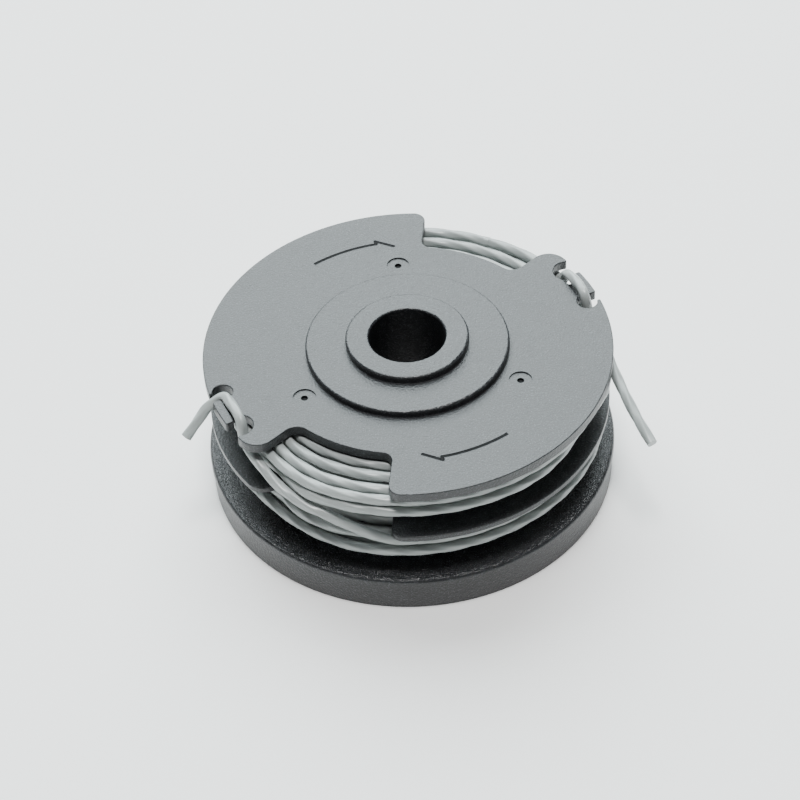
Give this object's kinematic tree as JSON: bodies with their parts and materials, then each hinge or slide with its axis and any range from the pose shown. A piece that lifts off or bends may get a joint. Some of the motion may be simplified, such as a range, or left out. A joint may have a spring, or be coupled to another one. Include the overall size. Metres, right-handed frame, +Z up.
{
  "type": "trimmer line spool",
  "caption": "Dark moulded trimmer line spool with two grooves, windows and line catches in its flanges, wound with two grey nylon lines.",
  "frame": {"origin": "on the bore axis, at the bottom face of the skirt that the spool rests on", "axes": "+Z up the bore axis to the boss, -Y towards the camera of the picture, X to the right in it"},
  "size_m": [0.0867, 0.0776, 0.0323],
  "materials": {
    "spool_plastic": "fine moulded grain, glass-filled nylon",
    "line_nylon": "satin twisted line"
  },
  "bodies": {
    "root": {"spool": "spool_plastic", "upper_winding": "line_nylon", "lower_winding": "line_nylon", "upper_line_end": "line_nylon", "lower_line_end": "line_nylon"}
  },
  "joints": []
}
